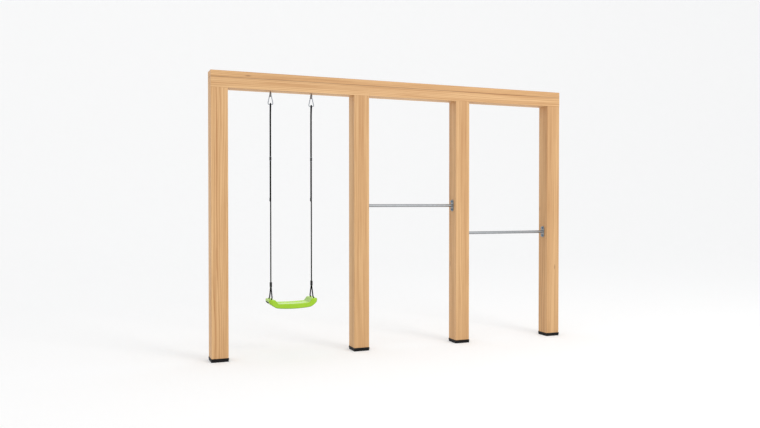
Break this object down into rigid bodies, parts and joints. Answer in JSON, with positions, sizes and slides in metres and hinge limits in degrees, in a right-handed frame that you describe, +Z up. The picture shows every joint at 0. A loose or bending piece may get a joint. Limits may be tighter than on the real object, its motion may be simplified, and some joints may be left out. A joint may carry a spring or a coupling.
{
  "type": "swing set",
  "caption": "Timber swing and pull-up frame: square posts on pads under a long layered beam, with a rope swing with a moulded seat and steel bars at different heights.",
  "frame": {"origin": "centre of the footprint, on the ground", "axes": "+X along the beam, from the swing bay towards the low bar; -Y is the front; +Z up"},
  "size_m": [3.404, 0.18, 2.4],
  "materials": {
    "timber": "planed softwood, clear oiled",
    "pad": "matt moulded",
    "galvanised": "hot-dip galvanised",
    "zinc": "blue zinc plated",
    "dark_steel": "dull plated",
    "bright_steel": "bright zinc plated",
    "rope": "laid polypropylene fibre",
    "black_plastic": "moulded",
    "seat_plastic": "satin blow-moulded"
  },
  "bodies": {
    "frame": {"post_1": "timber", "foot_1": "pad", "post_2": "timber", "foot_2": "pad", "post_3": "timber", "foot_3": "pad", "post_4": "timber", "foot_4": "pad", "beam_lower": "timber", "beam_cap": "timber", "post_screws": "zinc", "cap_screws": "zinc", "foot_screws": "zinc", "flange_high_left": "galvanised", "flange_high_right": "galvanised", "flange_low_left": "galvanised", "flange_low_right": "galvanised", "bar_high": "galvanised", "bar_low": "galvanised", "flange_washers": "zinc", "flange_bolts": "zinc", "eye_washers": "zinc", "eye_nuts": "zinc", "eye_bolt_left": "dark_steel", "eye_bolt_right": "dark_steel"},
    "left_hook": {"hook_left": "bright_steel", "gate_pin_left": "bright_steel"},
    "left_gate": {"gate_left": "bright_steel"},
    "right_hook": {"hook_right": "bright_steel", "gate_pin_right": "bright_steel"},
    "right_gate": {"gate_right": "bright_steel"},
    "swing": {"rope_left": "rope", "rope_stop_left": "black_plastic", "ferrule_left": "black_plastic", "rope_right": "rope", "rope_stop_right": "black_plastic", "ferrule_right": "black_plastic", "seat": "seat_plastic"},
    "left_adjuster": {"adjuster_left": "black_plastic", "adjuster_plates_left": "bright_steel"},
    "right_adjuster": {"adjuster_right": "black_plastic", "adjuster_plates_right": "bright_steel"}
  },
  "joints": [
    {"name": "hook_left_swing", "type": "hinge", "parent": "frame", "child": "left_hook", "pos_m": [-1.187, 0, 2.2258], "axis": [1, 0, 0], "range_deg": [-50, 50]},
    {"name": "hook_right_swing", "type": "hinge", "parent": "frame", "child": "right_hook", "pos_m": [-0.827, 0, 2.2258], "axis": [1, 0, 0], "range_deg": [-50, 50]},
    {"name": "seat_swing", "type": "hinge", "parent": "left_hook", "child": "swing", "pos_m": [-1.187, 0, 2.1478], "axis": [1, 0, 0], "range_deg": [-25, 25]},
    {"name": "gate_left_open", "type": "hinge", "parent": "left_hook", "child": "left_gate", "pos_m": [-1.16798, 0, 2.1703], "axis": [0, -1, 0], "range_deg": [0, 24], "stiffness_Nm_per_rad": 0.12, "springref_deg": -20.05},
    {"name": "gate_right_open", "type": "hinge", "parent": "right_hook", "child": "right_gate", "pos_m": [-0.80798, 0, 2.1703], "axis": [0, -1, 0], "range_deg": [0, 24], "stiffness_Nm_per_rad": 0.12, "springref_deg": -20.05},
    {"name": "adjuster_left_slide", "type": "slide", "parent": "swing", "child": "left_adjuster", "axis": [0, 0, 1], "range_m": [-0.3, 0.28]},
    {"name": "adjuster_right_slide", "type": "slide", "parent": "swing", "child": "right_adjuster", "axis": [0, 0, 1], "range_m": [-0.3, 0.28]}
  ],
  "couplings": [
    {"joint": "hook_right_swing", "follows": "hook_left_swing", "ratio": 1}
  ]
}
